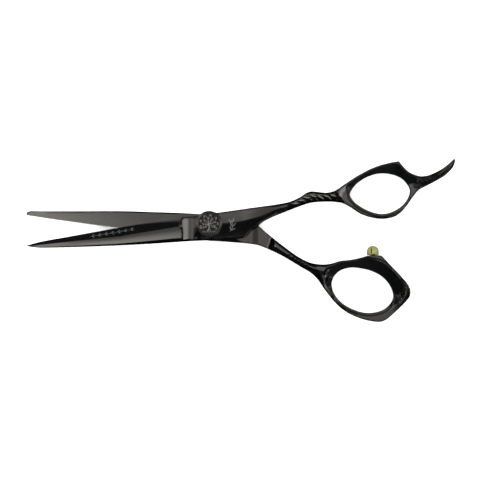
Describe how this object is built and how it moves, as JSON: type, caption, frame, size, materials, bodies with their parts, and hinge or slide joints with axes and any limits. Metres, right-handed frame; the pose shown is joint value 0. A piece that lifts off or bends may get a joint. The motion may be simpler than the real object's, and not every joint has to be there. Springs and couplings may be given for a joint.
{
  "type": "hair cutting shears",
  "caption": "Hair cutting shears with two crossed blades on an adjustable ball-bearing pivot, oval finger and thumb rings, a curved finger tang and a brass stop between the rings.",
  "frame": {"origin": "on the pivot axis, at the flat back of the stud head that the shears rest on", "axes": "+Z along the pivot axis towards the dial, +X from the blades towards the handles, +Y towards the finger ring"},
  "size_m": [0.1677, 0.0639, 0.0092],
  "materials": {
    "blackened_steel": "mirror-polished steel with a black gun-metal coating",
    "dial_steel": "gun-metal coated steel, cast relief with darkened recesses",
    "stud_steel": "turned steel",
    "bearing_steel": "ground bearing steel",
    "spring_steel": "blued spring steel",
    "bearing_bronze": "machined bronze",
    "slip_polymer": "smooth low-friction polymer",
    "bumper_brass": "polished pale brass"
  },
  "bodies": {
    "finger_side": {"finger_half": "blackened_steel", "pivot_bush": "bearing_bronze", "ride_washer": "slip_polymer", "lower_race": "bearing_steel"},
    "ball_cage": {"bearing_cage": "bearing_bronze", "ball_1": "bearing_steel", "ball_2": "bearing_steel", "ball_3": "bearing_steel", "ball_4": "bearing_steel", "ball_5": "bearing_steel", "ball_6": "bearing_steel", "ball_7": "bearing_steel", "ball_8": "bearing_steel"},
    "thumb_side": {"thumb_half": "blackened_steel", "pivot_stud": "stud_steel", "upper_race": "bearing_steel", "wave_spring": "spring_steel", "bumper_cap": "bumper_brass", "bumper_washer": "bumper_brass", "bumper_screw": "stud_steel"},
    "click_detent": {"click_plate": "spring_steel"},
    "dial": {"tension_dial": "dial_steel", "dial_medallion": "dial_steel"}
  },
  "joints": [
    {"name": "blade_pivot", "type": "hinge", "parent": "finger_side", "child": "thumb_side", "pos_m": [0, 0, 0.004], "axis": [0, 0, 1], "range_deg": [-130, 9.35]},
    {"name": "ball_cage_spin", "type": "hinge", "parent": "finger_side", "child": "ball_cage", "pos_m": [0, 0, 0.004], "axis": [0, 0, 1], "range_deg": [-66, 6]},
    {"name": "click_plate_travel", "type": "slide", "parent": "thumb_side", "child": "click_detent", "axis": [0, 0, 1], "range_m": [-0.000062, 0.000124]},
    {"name": "tension_dial_turn", "type": "hinge", "parent": "click_detent", "child": "dial", "pos_m": [0, 0, 0.008], "axis": [0, 0, 1], "range_deg": [-45, 90]}
  ],
  "couplings": [
    {"joint": "ball_cage_spin", "follows": "blade_pivot", "ratio": 0.5},
    {"joint": "tension_dial_turn", "follows": "click_plate_travel", "rad_per_m": 12566}
  ]
}
